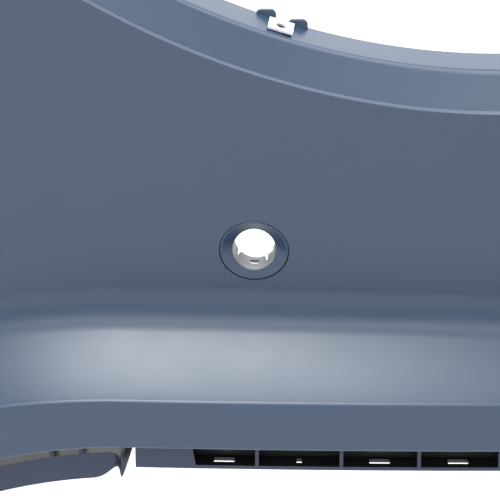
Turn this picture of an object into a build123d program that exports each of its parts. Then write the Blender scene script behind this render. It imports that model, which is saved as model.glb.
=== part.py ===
"""Rear bumper cover of a hatchback: a moulded skin with its welded, clipped and riveted pieces.

Millimetres. +X is to the right as seen from behind the car, -Y faces rearwards, away from the
car, and +Z is up. The origin is at the middle of the bounding box's bottom, on the floor that
the cover stands on. A place on the skin is given by s, the distance from the car's centreline
along the plan curve (negative to the left), by o, the distance outwards from that curve, and z.
"""

import os
from math import atan, cos, radians, sin, sqrt, tan

from build123d import *

# ---- Driving dimensions -------------------------------------------------------------------
# Plan curve, the line of the lower crease seen from above
DEPTH = 591.86  # from the rearmost point to the front ends of the sides
CENTRE_RADIUS = 3800.0
CORNER_START, CORNER_END = 610.0, 1110.0
CORNER_TURN = radians(70)
SIDE_END, TRIMMED_END = 1320.0, 1440.0  # of the finished side, and of the sheet before it is cut
PLAN_STEP = 2.0

# Heights, each with its ramp: start, slope, and the runs in which the slope grows, holds and fades
BOTTOM_Z = 117.6
BOTTOM_DIP = (470.0, 0.588, 168.0, 70.0, 92.0)
CREASE_Z = 148.0
CREASE_DIP = (470.0, 0.35, 167.0, 90.0, 150.0)
HATCH_Z = 312.4
HATCH_RISE = (268.0, 0.58, 228.0, 140.0, 150.0)

# Section of the skin, from the bottom up
SHEET = 3.0
RETURN_WIDTH = 38.0
LOWER_FACING = -10.0  # elevation of the outward normal, in degrees
SHELF_FACING = 50.0
SHELF_INNER, SHELF_OUTER = 37.0, 45.0  # shelf run at the centreline and beyond the inner sensors
SHELF_SIDE = 27.0
SHELF_BOW = -8.4  # change of facing from the shelf's middle to its top: it is hollow
COVE_RADIUS = 28.0
WAIST_FACING, SIDE_FACING, FACE_CROWN = -16.0, 5.0, 0.00008
LEDGE_FACING, LEDGE_RUN = 50.0, 2.5
BAND_FACING, BAND_RUN = 27.0, 22.0
FLANGE_FACING, FLANGE_RUN = 78.0, 23.0
ROUND_BOTTOM, ROUND_CREASE, ROUND_HATCH, ROUND_LEDGE, ROUND_BAND = 2.4, 3.0, 0.9, 2.4, 6.0
WAIST_PIECES = 4
STATION_STEP = 60.0

# Wheel arch, a cylinder along X
ARCH_Y, ARCH_Z, ARCH_RADIUS = 470.0, 190.0, 372.0

# Parking sensors: s of the inner and outer pair, and their height above the bottom edge's line
SENSOR_S = (400.0, 720.0)
SENSOR_Z = 227.0
RING_RADIUS, RING_GAP = 19.4, 0.3
SENSOR_BORE = 12.2
BORE_SETBACK, BORE_DROP = 3.7, 1.5  # from the middle of the skin's hole to the middle of the bore

# Lugs along the edge of the hatch flange, in pairs with a spring nut between
LUG_S = (80.0, 233.0, 385.0, 570.0)
LUG_WIDTH, LUG_HEIGHT, LUG_SHEET, LUG_APART = 11.0, 3.6, 2.6, 17.4
FLANGE_HOLE, FLANGE_HOLE_IN = 3.6, 12.0
NUT_WIDTH, NUT_NECK, NUT_SHEET, NUT_GAP = 14.0, 5.6, 1.2, 0.7

# Lower rail: an open channel under the middle, and a wing beyond each of its ends
RAIL_END, RAIL_SETBACK, RAIL_DEPTH, RAIL_DROP = 468.4, 22.0, 17.0, 21.2
RAIL_WALL, RAIL_GAP, WING_GAP = 2.1, 0.3, 0.9
RAIL_RIBS = (22.0, 69.0, 116.0, 163.0, 210.0, 257.0, 304.0, 349.0, 398.0)
PANEL_START = 437.0
SLOT_WIDTH, NARROW_SLOT, SLOT_DEPTH = 12.0, 3.0, 6.0
WING_START, WING_END, WING_SETBACK, WING_TOP, WING_DROP = 468.8, 640.0, 40.0, 19.6, 35.6
WING_TURN, WING_DIP, WING_FALL = 18.0, 12.0, 27.0  # runs in which the wing turns in, opens and falls
CENTRE_SCREW_S = (92.0, 233.0, 450.5)
WING_SCREW_S = (512.0, 588.0)
RAIL_SCREW_IN = 30.5
SCREW_SHANK, SCREW_HEAD, SCREW_HEAD_HEIGHT, SCREW_LENGTH = 2.0, 4.6, 2.6, 13.0
SCREW_HOLE, THREAD_HOLE, BOSS = 2.3, 2.05, 4.4

# Sensor ring and bracket
RING_SHEET = 1.8
COLLAR, COLLAR_WALL, COLLAR_DEPTH = 12.6, 1.8, 25.0
HOLDER, HOLDER_WALL, HOLDER_FLANGE = 20.7, 1.8, 28.0
HOLDER_FRONT, HOLDER_FLOOR = 4.6, 10.8

# Rails under the flange at the sides and below the lamps
SIDE_RAIL_START, SIDE_RAIL_END = 900.0, 1250.0
SIDE_SCREW_S = (960.0, 1190.0)
LAMP_START, LAMP_END = 612.0, 840.0
LAMP_SCREW_S = (650.0, 800.0)
FLANGE_SCREW_IN = 12.0
RAIL_PLAY = 1.4

# Towing eye cover, on the right only
TOW_S, TOW_Z = 545.0, 300.0
TOW_WIDTH, TOW_HEIGHT, TOW_CORNER = 66.0, 58.0, 7.0
CAP_WIDTH, CAP_HEIGHT, CAP_GAP, CAP_SHEET = 57.0, 49.0, 0.8, 2.4
KNUCKLE, HINGE_PIN, PIN_PLAY = 2.2, 1.0, 0.05

# Push rivets in the wheel arch lips
ARCH_LIP_WIDTH, ARCH_LIP_SHEET = 20.0, 2.5
RIVET_ANGLES = (38.0, -12.0)
RIVET_HOLE, ARCH_RIVET_IN = 4.0, 12.0
RIVET_SHANK, RIVET_HEAD, RIVET_PIN, PIN_HEAD = 3.9, 7.0, 2.4, 3.8


# ---- Plan curve and heights ---------------------------------------------------------------
def smooth(t):
    """0 to 1 with level ends."""
    t = min(1.0, max(0.0, t))
    return t * t * (3 - 2 * t)


def heading(s):
    """Angle of the plan curve from +X at s, in radians."""
    a = abs(s)
    turn = a / CENTRE_RADIUS
    turn += CORNER_TURN * smooth((a - CORNER_START) / (CORNER_END - CORNER_START))
    return turn if s >= 0 else -turn


def plan_table():
    """Points of the plan curve at every PLAN_STEP from the centreline, to the right."""
    x, y, table = 0.0, -DEPTH / 2, []
    for i in range(int(TRIMMED_END / PLAN_STEP) + 2):
        table.append((x, y))
        middle = heading((i + 0.5) * PLAN_STEP)
        x += PLAN_STEP * cos(middle)
        y += PLAN_STEP * sin(middle)
    return table


PLAN = plan_table()


def plan(s):
    """The plan curve's point at s."""
    i, part = divmod(abs(s) / PLAN_STEP, 1)
    (x0, y0), (x1, y1) = PLAN[int(i)], PLAN[int(i) + 1]
    x, y = x0 + (x1 - x0) * part, y0 + (y1 - y0) * part
    return (x if s >= 0 else -x), y


def ramp(s, start, slope, run_in, hold, run_out):
    """Height gained at s, and the slope there, on a ramp whose slope grows, holds and fades."""
    d = abs(s) - start
    if d <= 0:
        return 0.0, 0.0
    if d < run_in:
        return slope * d * d / (2 * run_in), slope * d / run_in
    gained = slope * run_in / 2
    d -= run_in
    if d < hold:
        return gained + slope * d, slope
    gained += slope * hold
    d -= hold
    if d < run_out:
        return gained + slope * (d - d * d / (2 * run_out)), slope * (1 - d / run_out)
    return gained + slope * run_out / 2, 0.0


def bottom_z(s):
    return BOTTOM_Z - ramp(s, *BOTTOM_DIP)[0]


def crease_z(s):
    return CREASE_Z - ramp(s, *CREASE_DIP)[0]


def hatch_z(s):
    return HATCH_Z + ramp(s, *HATCH_RISE)[0]


def at(s, o, z):
    """A point of the row frame."""
    x, y = plan(s)
    return Vector(x + o * sin(heading(s)), y - o * cos(heading(s)), z)


def station(s):
    """The upright plane across the skin at s: its x is o and its y is z."""
    out = Vector(sin(heading(s)), -cos(heading(s)), 0)
    return Plane(origin=at(s, 0, 0), x_dir=out, z_dir=out.cross(Vector(0, 0, 1)))


# ---- Section of the skin ------------------------------------------------------------------
def step(point, facing, run, stretch=1.0):
    """The point run further up a straight piece whose outward normal has that elevation."""
    f = radians(facing)
    return point[0] - run * sin(f), point[1] + run * cos(f) * stretch


def waist_facing(s):
    return WAIST_FACING + (SIDE_FACING - WAIST_FACING) * smooth((abs(s) - 400) / 500)


def shelf_run(s):
    inner = SHELF_INNER + (SHELF_OUTER - SHELF_INNER) * smooth(abs(s) / 460)
    return inner + (SHELF_SIDE - SHELF_OUTER) * smooth((abs(s) - 620) / 480)


def shelf_point(s, part):
    """A point of the hollow shelf, from the crease at 0 to the cove at 1."""
    run = shelf_run(s)
    bow = run * tan(radians(SHELF_BOW)) * part * (1 - part)
    o, z = step((0.0, crease_z(s)), SHELF_FACING, run * part)
    return o + bow * cos(radians(SHELF_FACING)), z + bow * sin(radians(SHELF_FACING))


def waist_foot(s):
    """Where the cove ends and the waist face starts."""
    shelf, face = radians(SHELF_FACING + SHELF_BOW), radians(waist_facing(s))
    o, z = step((0.0, crease_z(s)), SHELF_FACING, shelf_run(s))
    return o - COVE_RADIUS * (cos(face) - cos(shelf)), z + COVE_RADIUS * (sin(shelf) - sin(face))


def waist_o(s, z):
    """The waist face's offset at height z."""
    o, foot = waist_foot(s)
    crown = FACE_CROWN * (1 + smooth((abs(s) - 640) / 380))
    return o - tan(radians(waist_facing(s))) * (z - foot) - crown * (z - foot) ** 2


def face_elevation(s, z):
    """Elevation of the waist face's outward normal at height z, in radians."""
    return atan((waist_o(s, z - 1) - waist_o(s, z + 1)) / 2)


def key_line(s):
    """The section's outer line with sharp corners, from the bottom return up to the hatch flange."""
    crease = (0.0, crease_z(s))
    bottom = (tan(radians(LOWER_FACING)) * (crease[1] - bottom_z(s)), bottom_z(s))
    line = [(bottom[0] - RETURN_WIDTH, bottom[1]), bottom, crease]
    line += [shelf_point(s, 1 / 3), shelf_point(s, 2 / 3)]
    shelf_end = shelf_point(s, 1)
    start = SHELF_FACING + SHELF_BOW
    centre = (
        shelf_end[0] + COVE_RADIUS * cos(radians(start)),
        shelf_end[1] + COVE_RADIUS * sin(radians(start)),
    )
    for i in range(6):
        facing = radians(start + (waist_facing(s) - start) * i / 5)
        line.append((centre[0] - COVE_RADIUS * cos(facing), centre[1] - COVE_RADIUS * sin(facing)))
    foot, top = line[-1][1], hatch_z(s)
    for i in range(1, WAIST_PIECES + 1):
        z = foot + (top - foot) * i / WAIST_PIECES
        line.append((waist_o(s, z), z))
    stretch = sqrt(1 + ramp(s, *HATCH_RISE)[1] ** 2)
    for facing, run in (
        (LEDGE_FACING, LEDGE_RUN),
        (BAND_FACING, BAND_RUN),
        (FLANGE_FACING, FLANGE_RUN),
    ):
        line.append(step(line[-1], facing, run, stretch))
    return line


def rounded(before, corner, after, radius, pieces=2):
    """Points of the arc that rounds a corner."""
    a = Vector(*before) - Vector(*corner)
    b = Vector(*after) - Vector(*corner)
    half = radians(a.get_angle(b)) / 2
    a, b = a.normalized(), b.normalized()
    centre = Vector(*corner) + (a + b).normalized() * (radius / sin(half))
    first = Vector(*corner) + a * (radius / tan(half)) - centre
    last = Vector(*corner) + b * (radius / tan(half)) - centre
    points = []
    for i in range(pieces + 1):
        mixed = (first * (pieces - i) + last * i).normalized() * radius
        points.append(tuple(centre + mixed)[:2])
    return points


def outer_line(s):
    """The section's outer line with its corners rounded."""
    key = key_line(s)
    last = len(key) - 1
    rounds = {
        1: ROUND_BOTTOM,
        2: ROUND_CREASE,
        last - 3: ROUND_HATCH,
        last - 2: ROUND_LEDGE,
        last - 1: ROUND_BAND,
    }
    line = []
    for i, corner in enumerate(key):
        if i in rounds:
            line += rounded(key[i - 1], corner, key[i + 1], rounds[i])
        else:
            line.append(corner)
    return line


def inner_line(s, inset):
    """The sharp line moved inwards by inset, with mitred corners."""
    key = [Vector(*p) for p in key_line(s)]
    line = []
    for i, corner in enumerate(key):
        a = (corner - key[i - 1]).normalized() if i else (key[1] - key[0]).normalized()
        b = (key[i + 1] - corner).normalized() if i < len(key) - 1 else a
        left = Vector(-a.Y - b.Y, a.X + b.X).normalized()
        line.append(tuple(corner + left * (inset / (left.dot(Vector(-a.Y, a.X)))))[:2])
    return line


def stations(low, high, spacing=STATION_STEP):
    """Evenly spaced values of s from low to high."""
    count = max(2, round((high - low) / spacing))
    return [low + (high - low) * i / count for i in range(count + 1)]


def strip(section, low, high, spacing=STATION_STEP):
    """A solid that follows the plan curve, its section given at each s as (o, z) corners."""
    faces = []
    for s in stations(low, high, spacing):
        faces.append(station(s) * make_face(Polyline(*section(s), close=True)))
    return loft(faces)


def across(s, o, z):
    """A plane facing straight out of the car: x along the plan curve, y up."""
    h = heading(s)
    return Plane(origin=at(s, o, z), x_dir=(cos(h), sin(h), 0), z_dir=(sin(h), -cos(h), 0))


def on_face(s, z):
    """A plane on the waist face: x along the skin, y up it, z out of the car."""
    along = at(s + 1, waist_o(s + 1, z), z) - at(s - 1, waist_o(s - 1, z), z)
    upward = at(s, waist_o(s, z + 1), z + 1) - at(s, waist_o(s, z - 1), z - 1)
    return Plane(origin=at(s, waist_o(s, z), z), x_dir=along, z_dir=along.cross(upward))


def climbing(s, o, z, slope, tilt):
    """A plane whose x climbs along the skin at slope and whose normal leans out by tilt."""
    h = heading(s)
    along = Vector(cos(h), sin(h), slope).normalized()
    inward = Vector(-sin(h) * cos(tilt), cos(h) * cos(tilt), sin(tilt))
    return Plane(origin=at(s, o, z), x_dir=along, z_dir=along.cross(inward))


def on_flange(s, inset=0.0):
    """A plane on the hatch flange's edge: x along it, y into the car, z up from it."""
    edge = flange_edge(s)
    slope = ramp(s, *HATCH_RISE)[1] * (1 if s > 0 else -1)
    plane = climbing(s, edge[0], edge[1], slope, radians(90 - FLANGE_FACING))
    return plane.offset(inset)


def on_return(s):
    """A plane on the underside of the bottom return, at the rail screws: x along it, z up."""
    o, z = bottom_corner(s)
    slope = ramp(s, *BOTTOM_DIP)[1] * (-1 if s > 0 else 1)
    return climbing(s, o - RAIL_SCREW_IN, z, slope, 0.0)


def turned(plane, *corners):
    """A solid of revolution about the plane's z from (radius, depth) corners."""
    upright = Plane(origin=plane.origin, x_dir=plane.x_dir, z_dir=-plane.y_dir)
    face = upright * make_face(Polyline(*corners, close=True))
    return revolve(face, Axis(plane.origin, plane.z_dir))


def finish(builder, name):
    """Name a piece and write it out."""
    builder.part.label = name
    export_step(builder.part, f"parts/{name}.step")


def both(places):
    """Each distance along the skin on the left and on the right."""
    return [-s for s in reversed(places)] + list(places)


def bottom_corner(s):
    return tan(radians(LOWER_FACING)) * (crease_z(s) - bottom_z(s)), bottom_z(s)


def flange_edge(s):
    return key_line(s)[-1]


os.makedirs("parts", exist_ok=True)

# ---- Fascia skin --------------------------------------------------------------------------
def skin_section(s):
    return outer_line(s) + inner_line(s, SHEET)[::-1]


def arch_lip_section(s):
    return outer_line(s) + inner_line(s, ARCH_LIP_WIDTH)[::-1]


def arch_tube(inner, outer):
    """A tube along X about the wheel arch's axis."""
    plane = Plane(origin=(0, ARCH_Y, ARCH_Z), x_dir=(0, 1, 0), z_dir=(1, 0, 0))
    return plane * (Cylinder(outer, 2400) - Cylinder(inner, 2401))


def arch_plane(side, angle, radius):
    """A plane on the arch lip: z points to the arch's axis, x is +X."""
    a = radians(angle)
    y, z = ARCH_Y - radius * cos(a), ARCH_Z + radius * sin(a)
    s = 1000.0
    for _ in range(6):
        s += y - at(s, waist_o(s, z), z).Y
    x = at(s, waist_o(s, z), z).X - ARCH_RIVET_IN
    return Plane(origin=(side * x, y, z), x_dir=(1, 0, 0), z_dir=(0, cos(a), -sin(a)))


skin_sheet = strip(skin_section, -TRIMMED_END, TRIMMED_END)
side_band = strip(arch_lip_section, 980, SIDE_END)
lip_right = side_band & arch_tube(ARCH_RADIUS, ARCH_RADIUS + ARCH_LIP_SHEET)
lip_left = mirror(lip_right, about=Plane.YZ)

with BuildPart() as fascia_skin:
    add(skin_sheet)
    with Locations((0, plan(SIDE_END)[1] + 200, 300)):
        Box(2400, 400, 800, mode=Mode.SUBTRACT)
    with Locations(Plane(origin=(0, ARCH_Y, ARCH_Z), x_dir=(0, 1, 0), z_dir=(1, 0, 0))):
        Cylinder(ARCH_RADIUS, 2400, mode=Mode.SUBTRACT)
    add(lip_right)
    add(lip_left)
    with Locations((0, 0, -20)):
        Box(2400, 1400, 40, mode=Mode.SUBTRACT)
    for s in both(LUG_S):
        edge = flange_edge(s)
        for offset in (-LUG_APART / 2, LUG_APART / 2):
            base = across(s + offset, edge[0], flange_edge(s + offset)[1] - 2.6)
            with BuildSketch(base):
                with BuildLine():
                    Polyline(
                        (-LUG_WIDTH / 2, 0),
                        (-LUG_WIDTH / 2, LUG_HEIGHT),
                        (-LUG_WIDTH / 2 + 2.6, LUG_HEIGHT + 2.6),
                        (LUG_WIDTH / 2 - 2.6, LUG_HEIGHT + 2.6),
                        (LUG_WIDTH / 2, LUG_HEIGHT),
                        (LUG_WIDTH / 2, 0),
                        close=True,
                    )
                make_face()
            extrude(amount=LUG_SHEET)
        with Locations(on_flange(s) * Pos(0, -FLANGE_HOLE_IN, 0)):
            Cylinder(FLANGE_HOLE, 16, mode=Mode.SUBTRACT)
    for s in both(SIDE_SCREW_S) + both(LAMP_SCREW_S):
        with Locations(on_flange(s) * Pos(0, -FLANGE_SCREW_IN, 0)):
            Cylinder(SCREW_HOLE, 16, mode=Mode.SUBTRACT)
    for s in both(SENSOR_S):
        with Locations(on_face(s, SENSOR_Z)):
            Cylinder(RING_RADIUS + RING_GAP, 24, mode=Mode.SUBTRACT)
    for s in both(CENTRE_SCREW_S + WING_SCREW_S):
        with Locations(on_return(s)):
            Cylinder(SCREW_HOLE, 12, mode=Mode.SUBTRACT)
    with BuildSketch(on_face(TOW_S, TOW_Z)):
        RectangleRounded(TOW_WIDTH, TOW_HEIGHT, TOW_CORNER)
    extrude(amount=12, both=True, mode=Mode.SUBTRACT)
    for side in (-1, 1):
        for angle in RIVET_ANGLES:
            with Locations(arch_plane(side, angle, ARCH_RADIUS)):
                Cylinder(RIVET_HOLE, 12, mode=Mode.SUBTRACT)
finish(fascia_skin, "fascia_skin")


# ---- Lower rail: channel with ribs and hook slots, blank end panels, and two wings ---------
def rail_section(s):
    o, z = bottom_corner(s)
    front, back = o - RAIL_SETBACK, o - RAIL_SETBACK - RAIL_DEPTH
    top, floor = z - RAIL_GAP, z - RAIL_DROP
    return [
        (front, top),
        (back, top),
        (back, floor),
        (front, floor),
        (front, floor + RAIL_WALL),
        (back + RAIL_WALL, floor + RAIL_WALL),
        (back + RAIL_WALL, top - RAIL_WALL),
        (front, top - RAIL_WALL),
    ]


def rail_front(s):
    """The rail's front plane at the height of the bottom edge."""
    o, z = bottom_corner(s)
    return across(s, o - RAIL_SETBACK, z)


rail_channel = strip(rail_section, -RAIL_END, RAIL_END)
slot_places = [(a + b) / 2 for a, b in zip(RAIL_RIBS, RAIL_RIBS[1:] + (PANEL_START,))]

with BuildPart() as lower_rail_centre:
    add(rail_channel)
    for s in both(RAIL_RIBS):
        o, z = bottom_corner(s)
        with BuildSketch(station(s)):
            with BuildLine():
                Polyline(
                    (o - RAIL_SETBACK, z - RAIL_GAP - 1),
                    (o - RAIL_SETBACK - RAIL_DEPTH + 1, z - RAIL_GAP - 1),
                    (o - RAIL_SETBACK - RAIL_DEPTH + 1, z - RAIL_DROP + 1),
                    (o - RAIL_SETBACK, z - RAIL_DROP + 1),
                    close=True,
                )
            make_face()
        extrude(amount=RAIL_WALL / 2, both=True)
    for s in both((450.5,)):
        side = 1 if s > 0 else -1
        inner, outer = side * (PANEL_START - 450.5), side * (RAIL_END - 450.5)
        with BuildSketch(rail_front(s)):
            with BuildLine():
                Polyline(
                    (inner, -RAIL_GAP),
                    (inner - side * 3.6, -RAIL_DROP),
                    (outer, -RAIL_DROP),
                    (outer, -RAIL_GAP),
                    close=True,
                )
            make_face()
        extrude(amount=-RAIL_WALL)
        with BuildSketch(rail_front(s).offset(-RAIL_WALL)):
            with BuildLine():
                Polyline(
                    (outer - side * 2.4, -RAIL_GAP),
                    (outer - side * 2.4, -RAIL_DROP),
                    (outer, -RAIL_DROP),
                    (outer, -RAIL_GAP),
                    close=True,
                )
            make_face()
        extrude(amount=-(RAIL_DEPTH - RAIL_WALL))
    for i, place in enumerate(slot_places):
        width = NARROW_SLOT if i == len(slot_places) - 2 else SLOT_WIDTH
        for s in (-place, place):
            with Locations(rail_front(s) * Pos(0, -RAIL_DROP, -RAIL_DEPTH / 2)):
                Box(width, 4 * RAIL_WALL, SLOT_DEPTH, mode=Mode.SUBTRACT)
    for s in both(CENTRE_SCREW_S):
        with Locations(on_return(s) * Pos(0, 0, -RAIL_GAP - 4.5)):
            Cylinder(BOSS, 9)
        with Locations(on_return(s)):
            Cylinder(THREAD_HOLE, 24, mode=Mode.SUBTRACT)
finish(lower_rail_centre, "lower_rail_centre")


def wing_section(s):
    """A top plate and a front wall, which turn in and down from the end of the channel."""
    o, z = bottom_corner(s)
    past = abs(s) - WING_START
    front = o - RAIL_SETBACK - (WING_SETBACK - RAIL_SETBACK) * smooth(past / WING_TURN)
    top = z - WING_GAP - (WING_TOP - WING_GAP) * smooth(past / WING_DIP)
    low = z - RAIL_DROP - (WING_DROP - RAIL_DROP) * smooth(past / WING_FALL)
    return [
        (front, top),
        (front - 18, top),
        (front - 18, top - RAIL_WALL),
        (front - RAIL_WALL, top - RAIL_WALL),
        (front - RAIL_WALL, low),
        (front, low),
    ]


def wing_pad_section(s):
    o, z = bottom_corner(s)
    return [
        (o - 25.5, z - WING_GAP),
        (o - 37, z - WING_GAP),
        (o - 37, z - WING_GAP - 3),
        (o - 25.5, z - WING_GAP - 3),
    ]


def wing_web_section(s):
    o, z = bottom_corner(s)
    return [
        (o - 27, z - WING_GAP - 2),
        (o - 37, z - WING_GAP - 2),
        (o - 56, z - WING_TOP - 1),
        (o - WING_SETBACK - 0.5, z - WING_TOP - 1),
    ]


for side, name in ((-1, "left"), (1, "right")):
    low, high = sorted((side * WING_START, side * WING_END))
    wing_channel = strip(wing_section, low, high, 6)
    pads = [strip(wing_pad_section, side * s - 10, side * s + 10, 10) for s in WING_SCREW_S]
    webs = []
    for s in WING_SCREW_S:
        for offset in (-10, 7.6):
            webs.append(strip(wing_web_section, side * s + offset, side * s + offset + 2.4, 1.2))
    with BuildPart() as lower_rail_wing:
        add(wing_channel)
        add(pads)
        add(webs)
        for s in WING_SCREW_S:
            with Locations(on_return(side * s) * Pos(0, 0, -WING_GAP - 4.0)):
                Cylinder(BOSS, 6.6)
            with Locations(on_return(side * s)):
                Cylinder(THREAD_HOLE, 24, mode=Mode.SUBTRACT)
    finish(lower_rail_wing, f"lower_rail_wing_{name}")


def screw(height):
    """A pan-head screw with a hexagon socket, pointing down, whose head sits at that height."""
    body = turned(
        Plane.XY,
        (0, height - SCREW_LENGTH),
        (SCREW_SHANK - 1, height - SCREW_LENGTH),
        (SCREW_SHANK, height - SCREW_LENGTH + 2),
        (SCREW_SHANK, height),
        (SCREW_HEAD, height),
        (SCREW_HEAD, height + SCREW_HEAD_HEIGHT / 2),
        (SCREW_HEAD - 1.4, height + SCREW_HEAD_HEIGHT),
        (0, height + SCREW_HEAD_HEIGHT),
    )
    return body - Pos(0, 0, height + SCREW_HEAD_HEIGHT) * extrude(RegularPolygon(1.5, 6), -1.6)


rail_screw = screw(SHEET + 0.8)
with BuildPart() as rail_screws:
    for s in both(CENTRE_SCREW_S + WING_SCREW_S):
        with Locations(on_return(s)):
            add(rail_screw)
finish(rail_screws, "rail_screws")

# ---- Spring nuts on the hatch flange ------------------------------------------------------
with BuildPart() as flange_spring_nuts:
    for s in both(LUG_S):
        plane = on_flange(s)
        leaf_in, sheet, gap = FLANGE_HOLE_IN + 6, NUT_SHEET, NUT_GAP
        for low, high in ((gap, gap + sheet), (-SHEET - gap - sheet, -SHEET - gap)):
            with BuildSketch(plane.offset(low)):
                with Locations((0, -(leaf_in + 4) / 2)):
                    Rectangle(NUT_WIDTH, leaf_in - 4)
                with Locations((0, -2 + gap / 2 + sheet / 2)):
                    Rectangle(NUT_NECK, 4 + gap + sheet)
                with Locations((0, -FLANGE_HOLE_IN)):
                    Circle(FLANGE_HOLE - 0.9, mode=Mode.SUBTRACT)
            extrude(amount=sheet)
        with Locations(plane * Pos(0, gap + sheet / 2, -SHEET / 2)):
            Box(NUT_NECK, sheet, SHEET + 2 * gap + 2 * sheet)
        with Locations(plane * Pos(0, -FLANGE_HOLE_IN, -SHEET - gap - sheet - 2)):
            Cylinder(FLANGE_HOLE + 0.6, 4)
            Cylinder(FLANGE_HOLE - 0.9, 6, mode=Mode.SUBTRACT)
finish(flange_spring_nuts, "flange_spring_nuts")


# ---- Sensor rings and brackets ------------------------------------------------------------
def level_bore(s):
    """A plane across the sensor's level axis at the front of its bore: y up, z out of the car."""
    face = on_face(s, SENSOR_Z)
    middle = face * Pos(0, -BORE_DROP, -BORE_SETBACK)
    out = (face.z_dir.X, face.z_dir.Y, 0)
    return Plane(origin=middle.position, x_dir=face.x_dir, z_dir=out)


def funnel(near, near_radius, far, far_radius):
    """A solid between two circles, which needn't be parallel."""
    return loft([near * Circle(near_radius), far * Circle(far_radius)])


def face_layer(near, far, low, high, z_low, z_high):
    """A sheet behind the waist face, between two depths."""
    def section(s):
        lines = []
        for depth in (near, far):
            line = []
            for i in range(5):
                z = z_low + (z_high - z_low) * i / 4
                f = face_elevation(s, z)
                line.append((waist_o(s, z) - depth * cos(f), z - depth * sin(f)))
            lines.append(line)
        return lines[0] + lines[1][::-1]
    return strip(section, low, high, 20)


SENSOR_PLACES = (
    (-SENSOR_S[1], "outer_left"),
    (-SENSOR_S[0], "inner_left"),
    (SENSOR_S[0], "inner_right"),
    (SENSOR_S[1], "outer_right"),
)

for s, place in SENSOR_PLACES:
    plane, bore = on_face(s, SENSOR_Z), level_bore(s)
    rim = turned(
        plane,
        (0, 0.0),
        (RING_RADIUS - 0.5, 0.0),
        (RING_RADIUS, -0.5),
        (RING_RADIUS, -6.0),
        (RING_RADIUS - RING_SHEET, -6.0),
        (RING_RADIUS - RING_SHEET, -RING_SHEET),
        (0, -RING_SHEET),
    )
    dish_back = funnel(
        plane.offset(-1.0), RING_RADIUS - 0.4, bore.offset(-RING_SHEET), SENSOR_BORE + RING_SHEET
    )
    dish_front = funnel(plane, RING_RADIUS - 1.1, bore, SENSOR_BORE + 0.3)
    with BuildPart() as sensor_ring:
        add(rim)
        add(dish_back)
        add(dish_front, mode=Mode.SUBTRACT)
        with Locations(bore):
            Cylinder(SENSOR_BORE, 40, mode=Mode.SUBTRACT)
        for angle in (0, 120, 240):
            hook = plane * Rot(0, 0, angle) * Pos(RING_RADIUS - 0.1, 0, -5.3)
            with Locations(hook):
                Box(1.9, 6, 1.4)
    finish(sensor_ring, f"sensor_ring_{place}")

    sheet = face_layer(SHEET + 1.4, SHEET + 3.2, s - 34, s + 34, SENSOR_Z - 34, SENSOR_Z + 34)
    flange = sheet & (plane * Cylinder(HOLDER_FLANGE, 20))
    holder = turned(
        plane,
        (HOLDER, -HOLDER_FRONT),
        (HOLDER + HOLDER_WALL, -HOLDER_FRONT),
        (HOLDER + HOLDER_WALL, -HOLDER_FLOOR - HOLDER_WALL),
        (0, -HOLDER_FLOOR - HOLDER_WALL),
        (0, -HOLDER_FLOOR),
        (HOLDER, -HOLDER_FLOOR),
    )
    with BuildPart() as sensor_bracket:
        add(flange)
        with Locations(plane):
            Cylinder(HOLDER + 0.4, 40, mode=Mode.SUBTRACT)
        add(holder)
        with Locations(bore * Pos(0, 0, -(COLLAR_DEPTH + 2.7) / 2)):
            Cylinder(COLLAR + COLLAR_WALL, COLLAR_DEPTH - 2.7)
        with Locations(bore):
            Cylinder(COLLAR, 80, mode=Mode.SUBTRACT)
        for angle in (-138, -62, 42, 138):
            with Locations(bore * Rot(0, 0, angle) * Pos(COLLAR + 1, 0, -COLLAR_DEPTH + 5)):
                Box(6, 2.2, 10.5, mode=Mode.SUBTRACT)
        with Locations(bore * Rot(0, 0, -93) * Pos(COLLAR + 1, 0, -16.5)):
            Box(6, 4.8, 6.5, mode=Mode.SUBTRACT)
        with Locations(bore * Rot(0, 0, -20) * Pos(COLLAR - 0.2, 0, -15)):
            Box(2.4, 5, 18)
        for angle in (0, 180):
            arm = bore * Rot(0, 0, angle)
            with Locations(arm * Pos(COLLAR + 3.2, 0, -COLLAR_DEPTH + 0.5)):
                Box(5, 9, 2)
            with Locations(arm * Pos(COLLAR + 4.7, 0, -COLLAR_DEPTH - 3.5)):
                Box(2, 9, 8)
            with Locations(arm * Pos(COLLAR + 3.7, 0, -COLLAR_DEPTH - 6.5)):
                Box(2.4, 9, 2)
    finish(sensor_bracket, f"sensor_bracket_{place}")


# ---- Rails under the hatch flange at the sides and below the lamps -------------------------
def between(a, b, part):
    return a[0] + (b[0] - a[0]) * part, a[1] + (b[1] - a[1]) * part


def side_rail_section(s):
    """Two walls of a rail that lies behind the band and under the flange."""
    near, far = inner_line(s, SHEET + RAIL_PLAY)[-3:], inner_line(s, SHEET + RAIL_PLAY + 2.2)[-3:]
    return [
        between(near[1], near[0], 0.75),
        near[1],
        between(near[1], near[2], 0.92),
        between(far[1], far[2], 0.90),
        far[1],
        between(far[1], far[0], 0.75),
    ]


def lamp_rail_section(s):
    """As the side rail, with a third wall hanging from the flange's inner edge."""
    near, far = inner_line(s, SHEET + RAIL_PLAY)[-3:], inner_line(s, SHEET + RAIL_PLAY + 2.4)[-3:]
    edge, under = between(near[1], near[2], 0.92), between(far[1], far[2], 0.78)
    return [
        between(near[1], near[0], 0.75),
        near[1],
        edge,
        (edge[0], edge[1] - 26),
        (edge[0] + 2.4, edge[1] - 26),
        (edge[0] + 2.4, under[1]),
        far[1],
        between(far[1], far[0], 0.75),
    ]


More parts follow.
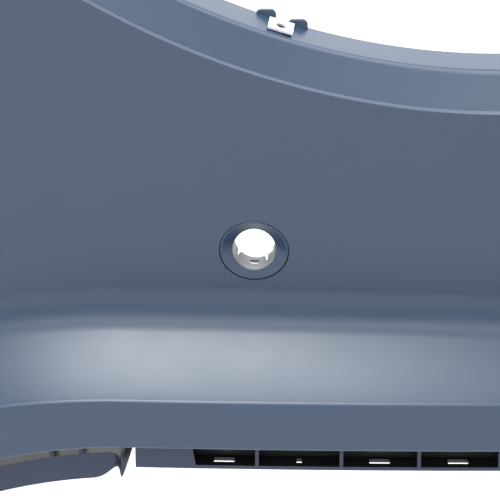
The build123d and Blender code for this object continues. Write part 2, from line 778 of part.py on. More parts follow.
for side, name in ((-1, "left"), (1, "right")):
    low, high = sorted((side * SIDE_RAIL_START, side * SIDE_RAIL_END))
    rail_sheet = strip(side_rail_section, low, high, 50)
    with BuildPart() as side_retainer:
        add(rail_sheet)
        for s in (925.0, 1005.0, 1050.0, 1095.0, 1140.0, 1230.0):
            band = inner_line(side * s, SHEET + 1.6)
            o, z = between(band[-2], band[-3], 0.35)
            with Locations(across(side * s, o, z)):
                Box(16, 6, 14, mode=Mode.SUBTRACT)
        for s in SIDE_SCREW_S:
            seat = on_flange(side * s) * Pos(0, -FLANGE_SCREW_IN, -SHEET - RAIL_PLAY)
            with Locations(seat * Pos(0, 0, -3.8)):
                Cylinder(BOSS, 7.6)
            with Locations(seat):
                Cylinder(THREAD_HOLE, 40, mode=Mode.SUBTRACT)
    finish(side_retainer, f"side_retainer_{name}")

    low, high = sorted((side * LAMP_START, side * LAMP_END))
    lamp_sheet = strip(lamp_rail_section, low, high, 30)
    with BuildPart() as lamp_bracket:
        add(lamp_sheet)
        for s in LAMP_SCREW_S:
            seat = on_flange(side * s) * Pos(0, -FLANGE_SCREW_IN, -SHEET - RAIL_PLAY)
            with Locations(seat * Pos(0, 0, -3.8)):
                Cylinder(BOSS, 7.6)
            with Locations(seat):
                Cylinder(THREAD_HOLE, 40, mode=Mode.SUBTRACT)
    finish(lamp_bracket, f"lamp_bracket_{name}")

flange_screw = screw(1.2)
for places, name in ((SIDE_SCREW_S, "side_retainer_screws"), (LAMP_SCREW_S, "lamp_bracket_screws")):
    with BuildPart() as flange_screws:
        for s in both(places):
            with Locations(on_flange(s) * Pos(0, -FLANGE_SCREW_IN, 0)):
                add(flange_screw)
    finish(flange_screws, name)

# ---- Push rivets in the wheel arch lips ---------------------------------------------------
rivet_places = []
for side, side_name in ((-1, "left"), (1, "right")):
    for angle, level_name in zip(RIVET_ANGLES, ("upper", "lower")):
        place = arch_plane(side, angle, ARCH_RADIUS)
        rivet_places.append((place, f"{level_name}_{side_name}"))


def rivet_body(plane):
    bore = RIVET_PIN + PIN_PLAY
    return turned(
        plane,
        (bore, 1.8),
        (RIVET_HEAD - 0.6, 1.8),
        (RIVET_HEAD, 1.2),
        (RIVET_HEAD, 0.15),
        (RIVET_SHANK, 0.15),
        (RIVET_SHANK, -8.0),
        (RIVET_SHANK - 0.8, -10.0),
        (bore, -10.0),
    )


def rivet_pin(plane):
    return turned(
        plane,
        (0, 3.6),
        (PIN_HEAD - 0.8, 3.6),
        (PIN_HEAD, 2.8),
        (PIN_HEAD, 2.1),
        (RIVET_PIN, 2.1),
        (RIVET_PIN, -9.0),
        (RIVET_PIN - 1, -11.0),
        (0, -11.0),
    )


rivet_shapes = [rivet_body(plane) for plane, _ in rivet_places]
with BuildPart() as arch_rivet_bodies:
    add(rivet_shapes)
finish(arch_rivet_bodies, "arch_rivet_bodies")

for plane, place in rivet_places:
    pin_shape = rivet_pin(plane)
    with BuildPart() as arch_rivet_pin:
        add(pin_shape)
    finish(arch_rivet_pin, f"arch_rivet_pin_{place}")

# ---- Towing eye cover: frame, cap and hinge pin -------------------------------------------
tow_plane = on_face(TOW_S, TOW_Z)
hinge_line = tow_plane * Pos(0, -CAP_HEIGHT / 2 + KNUCKLE, -KNUCKLE) * Rot(0, 90, 0)
tow_low, tow_high = TOW_S - 50, TOW_S + 50
tow_front = face_layer(0.0, 5.4, tow_low, tow_high, TOW_Z - 46, TOW_Z + 46)
tow_back = face_layer(SHEET + 0.4, 5.4, tow_low, tow_high, TOW_Z - 46, TOW_Z + 46)
cap_front = face_layer(0.0, CAP_SHEET, tow_low, tow_high, TOW_Z - 46, TOW_Z + 46)
mouth_width, mouth_height = CAP_WIDTH + 2 * CAP_GAP, CAP_HEIGHT + 2 * CAP_GAP


def prism(width, height, corner, depth=12):
    return extrude(tow_plane * RectangleRounded(width, height, corner), depth, both=True)


mouth = prism(mouth_width, mouth_height, 1.6, 20)
bezel = tow_front & prism(TOW_WIDTH - 0.8, TOW_HEIGHT - 0.8, TOW_CORNER - 0.4)
backing = tow_back & prism(TOW_WIDTH + 14, TOW_HEIGHT + 14, TOW_CORNER + 4)

with BuildPart() as tow_eye_frame:
    add(bezel)
    add(backing)
    add(mouth, mode=Mode.SUBTRACT)
    with Locations(hinge_line):
        Cylinder(HINGE_PIN + PIN_PLAY, CAP_WIDTH + 6.4, mode=Mode.SUBTRACT)
finish(tow_eye_frame, "tow_eye_frame")

cap_plate = cap_front & prism(CAP_WIDTH, CAP_HEIGHT, 1.2)
with BuildPart() as tow_eye_cap:
    add(cap_plate)
    with Locations(tow_plane * Pos(0, -CAP_HEIGHT / 2, 0)):
        Box(CAP_WIDTH + 2, 2 * KNUCKLE, 20, mode=Mode.SUBTRACT)
    with Locations(hinge_line):
        Cylinder(KNUCKLE, CAP_WIDTH)
        Cylinder(HINGE_PIN + PIN_PLAY, CAP_WIDTH + 2, mode=Mode.SUBTRACT)
    for x in (-16, 16):
        with Locations(tow_plane * Pos(x, CAP_HEIGHT / 2 - 3, -4.6)):
            Box(8, 1.6, 7)
finish(tow_eye_cap, "tow_eye_cap")

with BuildPart() as tow_eye_hinge_pin:
    with Locations(hinge_line):
        Cylinder(HINGE_PIN, CAP_WIDTH + 6)
finish(tow_eye_hinge_pin, "tow_eye_hinge_pin")
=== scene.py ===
"""Rear bumper cover on a pale floor. The visible skin is a fine mesh of the CAD's own section."""
from math import atan, cos, hypot, pi, radians, sin, sqrt, tan

import bmesh
import bpy
from mathutils import Matrix, Vector, kdtree


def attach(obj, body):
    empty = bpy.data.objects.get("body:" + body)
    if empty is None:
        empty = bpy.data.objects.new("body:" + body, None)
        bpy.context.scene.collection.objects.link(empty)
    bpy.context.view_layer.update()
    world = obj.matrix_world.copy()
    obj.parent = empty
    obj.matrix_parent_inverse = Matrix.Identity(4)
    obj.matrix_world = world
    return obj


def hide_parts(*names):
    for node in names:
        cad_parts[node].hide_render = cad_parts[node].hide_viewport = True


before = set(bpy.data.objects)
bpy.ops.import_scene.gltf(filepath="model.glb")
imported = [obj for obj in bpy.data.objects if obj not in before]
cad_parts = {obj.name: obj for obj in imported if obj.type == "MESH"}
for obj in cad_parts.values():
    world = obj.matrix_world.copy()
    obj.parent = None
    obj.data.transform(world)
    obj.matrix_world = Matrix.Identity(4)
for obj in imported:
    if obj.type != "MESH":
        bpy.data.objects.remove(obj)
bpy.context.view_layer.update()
MM = 0.001

# ---- The cover's own dimensions, in mm, as in the CAD ---------------------------------------
DEPTH, CENTRE_RADIUS = 591.86, 3800.0
CORNER_START, CORNER_END, CORNER_TURN = 610.0, 1110.0, radians(70)
SIDE_END, PLAN_STEP = 1320.0, 2.0
BOTTOM_Z, BOTTOM_DIP = 117.6, (470.0, 0.588, 168.0, 70.0, 92.0)
CREASE_Z, CREASE_DIP = 148.0, (470.0, 0.35, 167.0, 90.0, 150.0)
HATCH_Z, HATCH_RISE = 312.4, (268.0, 0.58, 228.0, 140.0, 150.0)
SHEET, RETURN_WIDTH, LOWER_FACING = 3.0, 38.0, -10.0
SHELF_FACING, SHELF_INNER, SHELF_OUTER, SHELF_SIDE = 50.0, 37.0, 45.0, 27.0
SHELF_BOW, COVE_RADIUS = -8.4, 28.0
WAIST_FACING, SIDE_FACING, FACE_CROWN = -16.0, 5.0, 0.00008
LEDGE, BAND, FLANGE = (50.0, 2.5), (27.0, 22.0), (78.0, 23.0)
ROUND_BOTTOM, ROUND_CREASE, ROUND_HATCH, ROUND_LEDGE, ROUND_BAND = 2.4, 3.0, 0.9, 2.4, 6.0
ARCH_Y, ARCH_Z, ARCH_RADIUS = 470.0, 190.0, 372.0
ARCH_LIP_WIDTH, ARCH_LIP_SHEET = 20.0, 2.5
SENSOR_S, SENSOR_Z, RING_HOLE = (400.0, 720.0), 227.0, 19.7
LUG_S = (80.0, 233.0, 385.0, 570.0)
LUG_WIDTH, LUG_HEIGHT, LUG_SHEET, LUG_APART = 11.0, 3.6, 2.6, 17.4
FLANGE_HOLE, FLANGE_HOLE_IN, SCREW_HOLE = 3.6, 12.0, 2.3
SIDE_SCREW_S, LAMP_SCREW_S = (960.0, 1190.0), (650.0, 800.0)
RETURN_SCREW_S, RETURN_SCREW_IN = (92.0, 233.0, 450.5, 512.0, 588.0), 30.5
TOW_S, TOW_Z, TOW_WIDTH, TOW_HEIGHT, TOW_CORNER = 545.0, 300.0, 66.0, 58.0, 7.0
RIVET_ANGLES, RIVET_HOLE, RIVET_IN = (38.0, -12.0), 4.0, 12.0
RAIL_FRONT = 28.5  # the rail's front faces lie less than this behind the plan curve
OUTWARD_FACE = 0.35  # the least outward part of a normal that takes primer
LUG_ROOT, LUG_CORNER, LUG_EDGE = 2.6, 3.2, 0.5
LIP_START, LIP_STEPS, SKIN_STEPS = 980.0, 60, 520


# ---- Plan curve, heights and section --------------------------------------------------------
def smooth(t):
    t = min(1.0, max(0.0, t))
    return t * t * (3 - 2 * t)


def heading(s):
    a = abs(s)
    turn = a / CENTRE_RADIUS
    turn += CORNER_TURN * smooth((a - CORNER_START) / (CORNER_END - CORNER_START))
    return turn if s >= 0 else -turn


def plan_table():
    x, y, table = 0.0, -DEPTH / 2, []
    for i in range(int(SIDE_END / PLAN_STEP) + 2):
        table.append((x, y))
        middle = heading((i + 0.5) * PLAN_STEP)
        x += PLAN_STEP * cos(middle)
        y += PLAN_STEP * sin(middle)
    return table


PLAN = plan_table()


def plan(s):
    i, part = divmod(abs(s) / PLAN_STEP, 1)
    (x0, y0), (x1, y1) = PLAN[int(i)], PLAN[int(i) + 1]
    x, y = x0 + (x1 - x0) * part, y0 + (y1 - y0) * part
    return (x if s >= 0 else -x), y


def ramp(s, start, slope, run_in, hold, run_out):
    d = abs(s) - start
    if d <= 0:
        return 0.0, 0.0
    if d < run_in:
        return slope * d * d / (2 * run_in), slope * d / run_in
    gained = slope * run_in / 2
    d -= run_in
    if d < hold:
        return gained + slope * d, slope
    gained += slope * hold
    d -= hold
    if d < run_out:
        return gained + slope * (d - d * d / (2 * run_out)), slope * (1 - d / run_out)
    return gained + slope * run_out / 2, 0.0


def bottom_z(s):
    return BOTTOM_Z - ramp(s, *BOTTOM_DIP)[0]


def crease_z(s):
    return CREASE_Z - ramp(s, *CREASE_DIP)[0]


def hatch_z(s):
    return HATCH_Z + ramp(s, *HATCH_RISE)[0]


def at(s, o, z):
    x, y = plan(s)
    return Vector((x + o * sin(heading(s)), y - o * cos(heading(s)), z))


def step(point, facing, run, stretch=1.0):
    f = radians(facing)
    return point[0] - run * sin(f), point[1] + run * cos(f) * stretch


def waist_facing(s):
    return WAIST_FACING + (SIDE_FACING - WAIST_FACING) * smooth((abs(s) - 400) / 500)


def shelf_run(s):
    inner = SHELF_INNER + (SHELF_OUTER - SHELF_INNER) * smooth(abs(s) / 460)
    return inner + (SHELF_SIDE - SHELF_OUTER) * smooth((abs(s) - 620) / 480)


def shelf_point(s, part):
    run = shelf_run(s)
    bow = run * tan(radians(SHELF_BOW)) * part * (1 - part)
    o, z = step((0.0, crease_z(s)), SHELF_FACING, run * part)
    return o + bow * cos(radians(SHELF_FACING)), z + bow * sin(radians(SHELF_FACING))


def waist_foot(s):
    shelf, face = radians(SHELF_FACING + SHELF_BOW), radians(waist_facing(s))
    o, z = step((0.0, crease_z(s)), SHELF_FACING, shelf_run(s))
    return o - COVE_RADIUS * (cos(face) - cos(shelf)), z + COVE_RADIUS * (sin(shelf) - sin(face))


def waist_o(s, z):
    o, foot = waist_foot(s)
    crown = FACE_CROWN * (1 + smooth((abs(s) - 640) / 380))
    return o - tan(radians(waist_facing(s))) * (z - foot) - crown * (z - foot) ** 2


def face_elevation(s, z):
    return atan((waist_o(s, z - 1) - waist_o(s, z + 1)) / 2)


def bottom_corner(s):
    return tan(radians(LOWER_FACING)) * (crease_z(s) - bottom_z(s)), bottom_z(s)


def run_line(a, b, pieces):
    """Points after a up to and with b, each with the run's outward normal."""
    dx, dz = b[0] - a[0], b[1] - a[1]
    size = hypot(dx, dz)
    n = (dz / size, -dx / size)
    return [((a[0] + dx * i / pieces, a[1] + dz * i / pieces), n) for i in range(1, pieces + 1)]


def corner_arc(before, corner, after, radius, pieces):
    """The arc that rounds a corner, each point with its outward normal."""
    a = Vector(before) - Vector(corner)
    b = Vector(after) - Vector(corner)
    half = a.angle(b) / 2
    a.normalize()
    b.normalize()
    centre = Vector(corner) + (a + b).normalized() * (radius / sin(half))
    first = Vector(corner) + a * (radius / tan(half)) - centre
    last = Vector(corner) + b * (radius / tan(half)) - centre
    convex = a.x * b.y - a.y * b.x < 0
    points = []
    for i in range(pieces + 1):
        t = i / pieces
        arm = first.normalized().slerp(last.normalized(), t)
        points.append((tuple(centre + arm * radius), tuple(arm if convex else -arm)))
    return points


def fine_section(s):
    """The outer line from the bottom return up to the hatch flange's edge, with normals."""
    crease = (0.0, crease_z(s))
    bottom = bottom_corner(s)
    back = (bottom[0] - RETURN_WIDTH, bottom[1])
    shelf_end = shelf_point(s, 1)
    low = corner_arc(back, bottom, crease, ROUND_BOTTOM, 8)
    edge = corner_arc(bottom, crease, shelf_point(s, 0.05), ROUND_CREASE, 8)
    line = [(back, (0.0, -1.0))] + run_line(back, low[0][0], 6) + low
    line += run_line(low[-1][0], edge[0][0], 6) + edge
    for i in range(1, 13):
        part = 0.05 + 0.95 * i / 12
        facing = radians(SHELF_FACING + SHELF_BOW * (2 * part - 1))
        line.append((shelf_point(s, part), (cos(facing), sin(facing))))
    shelf = radians(SHELF_FACING + SHELF_BOW)
    cx, cz = shelf_end[0] + COVE_RADIUS * cos(shelf), shelf_end[1] + COVE_RADIUS * sin(shelf)
    pieces = 16
    for i in range(1, pieces + 1):
        f = shelf + (radians(waist_facing(s)) - shelf) * i / pieces
        line.append(((cx - COVE_RADIUS * cos(f), cz - COVE_RADIUS * sin(f)), (cos(f), sin(f))))
    foot, top = line[-1][0][1], hatch_z(s)
    stretch = sqrt(1 + ramp(s, *HATCH_RISE)[1] ** 2)
    key = [(waist_o(s, top), top)]
    for facing, length in (LEDGE, BAND, FLANGE):
        key.append(step(key[-1], facing, length, stretch))
    below = (waist_o(s, top - 10), top - 10)
    hatch = corner_arc(below, key[0], key[1], ROUND_HATCH, 5)
    pieces = 36
    for i in range(1, pieces):
        z = foot + (hatch[0][0][1] - foot) * i / pieces
        f = face_elevation(s, z)
        line.append(((waist_o(s, z), z), (cos(f), sin(f))))
    ledge = corner_arc(key[0], key[1], key[2], ROUND_LEDGE * 0.6, 6)
    band = corner_arc(key[1], key[2], key[3], ROUND_BAND, 8)
    line += hatch + run_line(hatch[-1][0], ledge[0][0], 2) + ledge
    line += run_line(ledge[-1][0], band[0][0], 4) + band
    return line + run_line(band[-1][0], key[3], 5)


# ---- Materials ------------------------------------------------------------------------------
def moulded(name, color, rough, bump=0.05, grain=900.0, mottle=0.05, specks=0.0, uneven=0.05,
            metallic=0.0):
    """A moulded or painted surface: mottled colour, fine grain, uneven gloss and faint dust."""
    material = bpy.data.materials.new(name)
    material.use_nodes = True
    nodes, links = material.node_tree.nodes, material.node_tree.links
    shader = nodes["Principled BSDF"]
    shader.inputs["Metallic"].default_value = metallic
    place = nodes.new("ShaderNodeTexCoord").outputs["Object"]

    def noise(scale, detail=3.0, roughness=0.5):
        node = nodes.new("ShaderNodeTexNoise")
        node.inputs["Scale"].default_value = scale
        node.inputs["Detail"].default_value = detail
        node.inputs["Roughness"].default_value = roughness
        links.new(place, node.inputs["Vector"])
        return node.outputs["Fac"]

    def spread(value, low, high, to_low, to_high):
        node = nodes.new("ShaderNodeMapRange")
        for socket, number in zip(("From Min", "From Max", "To Min", "To Max"),
                                  (low, high, to_low, to_high)):
            node.inputs[socket].default_value = number
        links.new(value, node.inputs["Value"])
        return node.outputs["Result"]

    def mixed(factor, first, second):
        node = nodes.new("ShaderNodeMix")
        node.data_type = "RGBA"
        links.new(factor, node.inputs["Factor"])
        for socket, value in (("A", first), ("B", second)):
            target = [i for i in node.inputs if i.name == socket and i.type == "RGBA"][0]
            if isinstance(value, tuple):
                target.default_value = value
            else:
                links.new(value, target)
        return [o for o in node.outputs if o.type == "RGBA"][0]

    dark = tuple(c * (1 - mottle) for c in color) + (1.0,)
    light = tuple(min(1.0, c * (1 + mottle)) for c in color) + (1.0,)
    paint = mixed(spread(noise(7.0, 5.0), 0.3, 0.7, 0.0, 1.0), dark, light)
    if specks:
        dust = tuple(min(1.0, c * 1.25 + 0.02) for c in color) + (1.0,)
        paint = mixed(spread(noise(1500.0, 1.0), 0.70, 0.78, 0.0, specks), paint, dust)
    links.new(paint, shader.inputs["Base Color"])
    links.new(spread(noise(45.0, 4.0), 0.3, 0.7, rough - uneven, rough + uneven),
              shader.inputs["Roughness"])
    bumps = nodes.new("ShaderNodeBump")
    bumps.inputs["Strength"].default_value = bump
    bumps.inputs["Distance"].default_value = 0.0004
    links.new(noise(grain, 2.0), bumps.inputs["Height"])
    links.new(bumps.outputs["Normal"], shader.inputs["Normal"])
    return material


PRIMER = moulded("primer", (0.0190, 0.0393, 0.0762), 0.36, 0.02, 700.0, 0.02, 0.15, 0.012)
RAW = moulded("raw_plastic", (0.012, 0.0125, 0.014), 0.5, 0.12, 1400.0, 0.12, 0.2)
# The rail's primer is the skin's primer made darker: painted shade for the rail under the skin's
# overhanging bottom edge.
SHADED_RAIL_PRIMER = moulded("rail_primer_painted_shade", (0.0156, 0.027, 0.063), 0.5, 0.05, 900.0, 0.06, 0.2, 0.03)
GREY = moulded("bracket_plastic", (0.26, 0.275, 0.3), 0.45, 0.06, 1100.0, 0.05, 0.2)
BLACK = moulded("black_plastic", (0.014, 0.0145, 0.016), 0.42, 0.1, 1200.0, 0.1, 0.2)
ZINC = moulded("zinc", (0.55, 0.55, 0.53), 0.35, 0.05, 1600.0, 0.12, 0.1, metallic=1.0)
NUT = moulded("nut_coating", (0.5, 0.52, 0.62), 0.4, 0.05, 1500.0, 0.08, 0.1)
FLOOR = moulded("floor", (0.74, 0.74, 0.74), 0.7, 0.02, 60.0, 0.01)


def repaint(node, material):
    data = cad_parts[node].data
    for i in range(len(data.materials)):
        data.materials[i] = material


NODE_PAINT = (
    ("fascia", PRIMER), ("tow_eye_cap", PRIMER), ("sensor_ring", PRIMER),
    ("sensor_bracket", GREY), ("lower_rail_centre", SHADED_RAIL_PRIMER), ("lower_rail_wing", SHADED_RAIL_PRIMER),
    ("flange_spring_nuts", NUT), ("rail_screws", ZINC), ("side_retainer_screws", ZINC),
    ("lamp_bracket_screws", ZINC), ("tow_eye_hinge_pin", ZINC), ("", BLACK),
)
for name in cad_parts:
    for start, paint in NODE_PAINT:
        if name.startswith(start):
            repaint(name, paint)
            break


# ---- The skin's fine mesh -------------------------------------------------------------------
def key_line(s, cove_pieces=8, waist_pieces=12):
    """The outer line with sharp corners."""
    crease = (0.0, crease_z(s))
    bottom = bottom_corner(s)
    line = [(bottom[0] - RETURN_WIDTH, bottom[1]), bottom, crease]
    line += [shelf_point(s, 0.25), shelf_point(s, 0.5), shelf_point(s, 0.75)]
    end = shelf_point(s, 1)
    shelf = radians(SHELF_FACING + SHELF_BOW)
    cx, cz = end[0] + COVE_RADIUS * cos(shelf), end[1] + COVE_RADIUS * sin(shelf)
    for i in range(cove_pieces + 1):
        f = shelf + (radians(waist_facing(s)) - shelf) * i / cove_pieces
        line.append((cx - COVE_RADIUS * cos(f), cz - COVE_RADIUS * sin(f)))
    foot, top = line[-1][1], hatch_z(s)
    for i in range(1, waist_pieces + 1):
        z = foot + (top - foot) * i / waist_pieces
        line.append((waist_o(s, z), z))
    stretch = sqrt(1 + ramp(s, *HATCH_RISE)[1] ** 2)
    for facing, length in (LEDGE, BAND, FLANGE):
        line.append(step(line[-1], facing, length, stretch))
    return line


def inset_line(s, inset):
    """The sharp line moved in, with mitred corners."""
    key = [Vector(p) for p in key_line(s)]
    line = []
    for i, corner in enumerate(key):
        a = (corner - key[i - 1]).normalized() if i else (key[1] - key[0]).normalized()
        b = (key[i + 1] - corner).normalized() if i < len(key) - 1 else a
        left = Vector((-a.y - b.y, a.x + b.x)).normalized()
        line.append(tuple(corner + left * (inset / left.dot(Vector((-a.y, a.x))))))
    return line


def closed_shell(name, places, inset):
    """A closed mesh between the fine outer line and the line moved in by inset.

    Returns the mesh and, for each outer vertex, its place and exact normal.
    """
    verts, faces, marks, exact = [], [], [], []
    for s in places:
        outer = fine_section(s)
        inner = inset_line(s, inset)[::-1]
        verts += [at(s, *point) * MM for point, _ in outer]
        verts += [at(s, *point) * MM for point in inner]
    outer_count, size = len(outer), len(outer) + len(inner)
    for i, s in enumerate(places):
        before, after = max(0, i - 1), min(len(places) - 1, i + 1)
        for j, (_, normal) in enumerate(fine_section(s)):
            along = verts[after * size + j] - verts[before * size + j]
            h = heading(s)
            up = Vector((-normal[1] * sin(h), normal[1] * cos(h), normal[0]))
            exact.append((verts[i * size + j], along.cross(up).normalized()))
    for i in range(len(places) - 1):
        for j in range(size):
            a, b = i * size + j, i * size + (j + 1) % size
            faces.append((a, a + size, b + size, b))
            marks.append(0 if j < outer_count - 1 else 1)
    last = (len(places) - 1) * size
    faces.append(tuple(range(size)))
    faces.append(tuple(last + j for j in reversed(range(size))))
    marks += [1, 1]
    mesh = bpy.data.meshes.new(name)
    mesh.from_pydata(verts, [], faces)
    mesh.materials.append(PRIMER)
    mesh.materials.append(RAW)
    mesh.polygons.foreach_set("material_index", marks)
    mesh.update()
    return mesh, exact


def add_object(name, mesh):
    piece = bpy.data.objects.new(name, mesh)
    bpy.context.scene.collection.objects.link(piece)
    return piece


def turned_prism(bm, matrix, outline, low, high):
    """A closed prism on an outline, from low to high along the matrix's z."""
    rings = []
    for w in (low, high):
        rings.append([bm.verts.new(matrix @ Vector((x, y, w))) for x, y in outline])
    count = len(outline)
    for i in range(count):
        j = (i + 1) % count
        bm.faces.new((rings[0][i], rings[0][j], rings[1][j], rings[1][i]))
    bm.faces.new(rings[0][::-1])
    bm.faces.new(rings[1])


def circle(radius, pieces=48):
    return [(radius * cos(2 * pi * i / pieces), radius * sin(2 * pi * i / pieces))
            for i in range(pieces)]


def rounded_box(width, height, corner, pieces=8):
    points = []
    for k, (sx, sy) in enumerate(((1, 1), (-1, 1), (-1, -1), (1, -1))):
        for i in range(pieces + 1):
            a = (k + i / pieces) * pi / 2
            points.append((sx * (width / 2 - corner) + corner * cos(a),
                           sy * (height / 2 - corner) + corner * sin(a)))
    return points


def matrix_of(origin, x_dir, z_dir):
    """A matrix in mm whose x and z point that way."""
    x, z = x_dir.normalized(), z_dir.normalized()
    y = z.cross(x)
    return Matrix(((x.x, y.x, z.x, origin.x), (x.y, y.y, z.y, origin.y),
                   (x.z, y.z, z.z, origin.z), (0, 0, 0, 1)))


def along_plan(s):
    return Vector((cos(heading(s)), sin(heading(s)), 0))


def on_face(s, z):
    along = at(s + 1, waist_o(s + 1, z), z) - at(s - 1, waist_o(s - 1, z), z)
    upward = at(s, waist_o(s, z + 1), z + 1) - at(s, waist_o(s, z - 1), z - 1)
    return matrix_of(at(s, waist_o(s, z), z), along, along.cross(upward))


def climbing(s, o, z, slope, tilt):
    h = heading(s)
    along = Vector((cos(h), sin(h), slope)).normalized()
    inward = Vector((-sin(h) * cos(tilt), cos(h) * cos(tilt), sin(tilt)))
    return matrix_of(at(s, o, z), along, along.cross(inward))


def on_flange(s):
    edge = key_line(s)[-1]
    slope = ramp(s, *HATCH_RISE)[1] * (1 if s > 0 else -1)
    return climbing(s, edge[0], edge[1], slope, radians(90 - FLANGE[0]))


def on_return(s):
    o, z = bottom_corner(s)
    slope = ramp(s, *BOTTOM_DIP)[1] * (-1 if s > 0 else 1)
    return climbing(s, o - RETURN_SCREW_IN, z, slope, 0.0)


def arch_place(side, angle, radius):
    a = radians(angle)
    y, z = ARCH_Y - radius * cos(a), ARCH_Z + radius * sin(a)
    s = 1000.0
    for _ in range(6):
        s += y - at(s, waist_o(s, z), z).y
    x = at(s, waist_o(s, z), z).x - RIVET_IN
    return matrix_of(Vector((side * x, y, z)), Vector((1, 0, 0)), Vector((0, cos(a), -sin(a))))


def both(places):
    return [-s for s in reversed(places)] + list(places)


def boolean(piece, cutter, operation):
    """Applies a boolean to the piece and removes the cutter."""
    modifier = piece.modifiers.new("cut", "BOOLEAN")
    modifier.operation, modifier.solver, modifier.object = operation, "EXACT", cutter
    bpy.context.view_layer.update()
    graph = bpy.context.evaluated_depsgraph_get()
    result = bpy.data.meshes.new_from_object(piece.evaluated_get(graph))
    piece.modifiers.clear()
    piece.data = result
    bpy.data.objects.remove(cutter)


def cutter_mesh(shapes):
    bm = bmesh.new()
    scale = Matrix.Scale(MM, 4)
    for matrix, outline, low, high in shapes:
        turned_prism(bm, scale @ matrix, outline, low, high)
    bmesh.ops.recalc_face_normals(bm, faces=bm.faces)
    mesh = bpy.data.meshes.new("cutter")
    bm.to_mesh(mesh)
    bm.free()
    mesh.materials.append(PRIMER)
    mesh.materials.append(RAW)
    mesh.polygons.foreach_set("material_index", [1] * len(mesh.polygons))
    return add_object("cutter", mesh)


def arch_matrix():
    return matrix_of(Vector((0, ARCH_Y, ARCH_Z)), Vector((0, 1, 0)), Vector((1, 0, 0)))


def shade(piece, exact=None, angle=28):
    """Smooth shading with sharp edges; outer faces take the exact surface normals."""
    mesh = piece.data
    mesh.shade_smooth()
    mesh.set_sharp_from_angle(angle=radians(angle))
    if not exact:
        return
    tree = kdtree.KDTree(len(exact))
    for i, (place, _) in enumerate(exact):
        tree.insert(place, i)
    tree.balance()
    known = {}
    corners = [Vector(n.vector) for n in mesh.corner_normals]
    for face in mesh.polygons:
        if face.material_index:
            continue
        for loop, vertex in zip(face.loop_indices, face.vertices):
            if vertex not in known:
                near = tree.find_n(mesh.vertices[vertex].co, 4)
                if near[0][2] < 1e-5:
                    known[vertex] = exact[near[0][1]][1]
                else:
                    total = Vector((0, 0, 0))
                    for _, index, gap in near:
                        total += exact[index][1] / (gap * gap)
                    known[vertex] = total.normalized()
            corners[loop] = known[vertex]
    mesh.normals_split_custom_set(corners)


skin_places = [-SIDE_END + 2 * SIDE_END * i / SKIN_STEPS for i in range(SKIN_STEPS + 1)]
skin_mesh, skin_exact = closed_shell("cover_skin", skin_places, SHEET)
skin = add_object("cover_skin", skin_mesh)
holes = [(arch_matrix(), circle(ARCH_RADIUS, 240), -1200, 1200)]
for s in both(SENSOR_S):
    holes.append((on_face(s, SENSOR_Z), circle(RING_HOLE, 96), -14, 10))
holes.append((on_face(TOW_S, TOW_Z), rounded_box(TOW_WIDTH, TOW_HEIGHT, TOW_CORNER), -14, 10))
for s in both(LUG_S):
    holes.append((on_flange(s) @ Matrix.Translation((0, -FLANGE_HOLE_IN, 0)),
                  circle(FLANGE_HOLE, 32), -8, 8))
for s in both(LAMP_SCREW_S) + both(SIDE_SCREW_S):
    holes.append((on_flange(s) @ Matrix.Translation((0, -FLANGE_HOLE_IN, 0)),
                  circle(SCREW_HOLE, 24), -8, 8))
for s in both(RETURN_SCREW_S):
    holes.append((on_return(s), circle(SCREW_HOLE, 24), -6, 8))
boolean(skin, cutter_mesh(holes), "DIFFERENCE")
shade(skin, skin_exact)
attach(skin, "cover")
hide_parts("fascia_skin")


def primer_with_shaded_recesses(name):
    """Shows a node with primer on its outward front faces and bare black plastic on all others;
    that black in the pockets and the cavity is partly unprimed plastic and partly painted shade.
    """
    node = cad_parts[name]
    mesh = node.data.copy()
    mesh.materials.clear()
    mesh.materials.append(SHADED_RAIL_PRIMER)
    mesh.materials.append(RAW)
    place = node.matrix_world
    turn = place.to_3x3()
    middle = Vector((0, CENTRE_RADIUS - DEPTH / 2, 0)) * MM
    for face in mesh.polygons:
        arm = place @ face.center - middle
        arm.z = 0
        outward = (turn @ face.normal).dot(arm.normalized())
        front = arm.length - CENTRE_RADIUS * MM > -RAIL_FRONT * MM
        # Faces set deep behind the front or not facing out take the bare black: partly unprimed
        # plastic, partly painted shade.
        face.material_index = 0 if outward > OUTWARD_FACE and (front or "wing" in name) else 1
    piece = add_object(f"{name}_painted", mesh)
    piece.matrix_world = place
    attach(piece, "cover")
    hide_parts(name)


for name in ("lower_rail_centre", "lower_rail_wing_left", "lower_rail_wing_right"):
    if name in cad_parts:
        primer_with_shaded_recesses(name)

# Lip along each wheel arch: the part of a thicker band that lies between two cylinders
side_places = [LIP_START + (SIDE_END - LIP_START) * i / LIP_STEPS for i in range(LIP_STEPS + 1)]
for side, side_name in ((1, "right"), (-1, "left")):
    lip_mesh, _ = closed_shell(f"arch_lip_{side_name}", side_places, ARCH_LIP_WIDTH)
    lip = add_object(f"arch_lip_{side_name}", lip_mesh)
    ring = circle(ARCH_RADIUS + ARCH_LIP_SHEET, 240)
    boolean(lip, cutter_mesh([(arch_matrix(), ring, 0, 1200)]), "INTERSECT")
    hole_shapes = [(arch_matrix(), circle(ARCH_RADIUS + 0.02, 240), -10, 1210)]
    boolean(lip, cutter_mesh(hole_shapes), "DIFFERENCE")
    if side < 0:
        for vertex in lip.data.vertices:
            vertex.co.x = -vertex.co.x
        lip.data.flip_normals()
    rivets = [(arch_place(side, a, ARCH_RADIUS), circle(RIVET_HOLE, 32), -8, 4)
              for a in RIVET_ANGLES]
    boolean(lip, cutter_mesh(rivets), "DIFFERENCE")
    for face in lip.data.polygons:
        face.material_index = 1
    shade(lip)
    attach(lip, "cover")

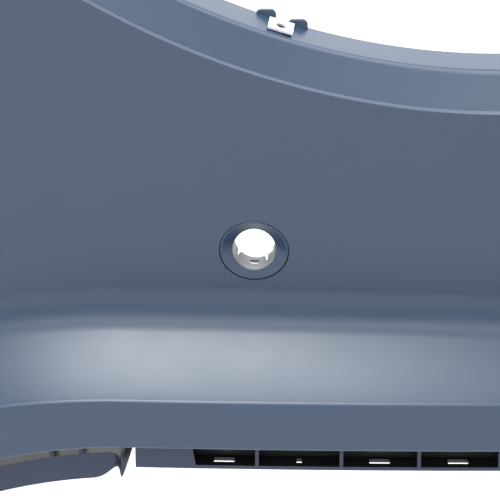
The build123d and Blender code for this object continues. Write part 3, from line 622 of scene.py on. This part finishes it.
# Lugs along the flange's edge, each a plate with rounded top corners
for index, s in enumerate(both(LUG_S)):
    edge = key_line(s)[-1]
    for offset, hand in ((-LUG_APART / 2, "a"), (LUG_APART / 2, "b")):
        z = key_line(s + offset)[-1][1] - LUG_ROOT
        out = Vector((sin(heading(s)), -cos(heading(s)), 0))
        place = matrix_of(at(s + offset, edge[0], z), along_plan(s), out)
        top = rounded_box(LUG_WIDTH, 2 * (LUG_HEIGHT + LUG_ROOT), LUG_CORNER)
        outline = [(-LUG_WIDTH / 2, 0.0)] + [p for p in top if p[1] > 0][::-1] + \
            [(LUG_WIDTH / 2, 0.0)]
        bm = bmesh.new()
        turned_prism(bm, Matrix.Scale(MM, 4) @ place, outline, 0.0, LUG_SHEET)
        bmesh.ops.recalc_face_normals(bm, faces=bm.faces)
        mesh = bpy.data.meshes.new(f"lug_{index}{hand}")
        bm.to_mesh(mesh)
        bm.free()
        mesh.materials.append(PRIMER)
        lug = add_object(f"lug_{index}{hand}", mesh)
        bevel = lug.modifiers.new("round", "BEVEL")
        bevel.width, bevel.segments, bevel.limit_method = LUG_EDGE * MM, 3, "ANGLE"
        mesh.shade_smooth()
        mesh.set_sharp_from_angle(angle=radians(50))
        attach(lug, "cover")

# ---- Floor, light and camera ----------------------------------------------------------------
floor_mesh = bpy.data.meshes.new("floor")
floor_mesh.from_pydata([(-6, -4, 0), (6, -4, 0), (6, 9, 0), (-6, 9, 0)], [], [(0, 1, 2, 3)])
floor_mesh.materials.append(FLOOR)
floor = add_object("floor", floor_mesh)

world = bpy.data.worlds.new("studio")
bpy.context.scene.world = world
world.use_nodes = True
sky = world.node_tree.nodes["Background"]
sky.inputs["Color"].default_value = (1, 1, 1, 1)
sky.inputs["Strength"].default_value = 0.85


def soft_light(name, place, target, width, height, power):
    data = bpy.data.lights.new(name, "AREA")
    data.shape, data.size, data.size_y, data.energy = "RECTANGLE", width, height, power
    light = bpy.data.objects.new(name, data)
    bpy.context.scene.collection.objects.link(light)
    light.location = place
    light.rotation_euler = (Vector(target) - Vector(place)).to_track_quat("-Z", "Y").to_euler()


soft_light("overhead", (-0.74, -0.78, 2.3), (-0.68, -0.4, 0.2), 0.88, 1.5, 78)
soft_light("rear", (0.2, 2.2, 1.9), (0.2, -0.2, 0.3), 3.6, 1.3, 35)
soft_light("front", (-0.9, -3.1, 2.1), (-0.5, -0.3, 0.3), 2.6, 1.0, 40)
soft_light("overhead_right", (0.45, -0.1, 2.3), (0.0, -0.3, 0.3), 1.3, 0.7, 18)

SENSOR = at(-SENSOR_S[0], waist_o(SENSOR_S[0], SENSOR_Z), SENSOR_Z) * MM
RIGHT = Vector((0.9976, -0.0698, 0.0))
UP = Vector((0.0216, 0.308, 0.951))
BACK = RIGHT.cross(UP).normalized()
camera_data = bpy.data.cameras.new("camera")
camera_data.sensor_width, camera_data.lens, camera_data.clip_end = 36.0, 144.0, 50.0
camera = bpy.data.objects.new("camera", camera_data)
bpy.context.scene.collection.objects.link(camera)
aim = SENSOR - RIGHT * 0.00224 + UP * 0.00056
camera.location = aim + BACK * 1.12
camera.rotation_euler = BACK.to_track_quat("Z", "Y").to_euler()
bpy.context.scene.camera = camera
bpy.context.scene.view_settings.view_transform = "Standard"

bpy.context.view_layer.update()
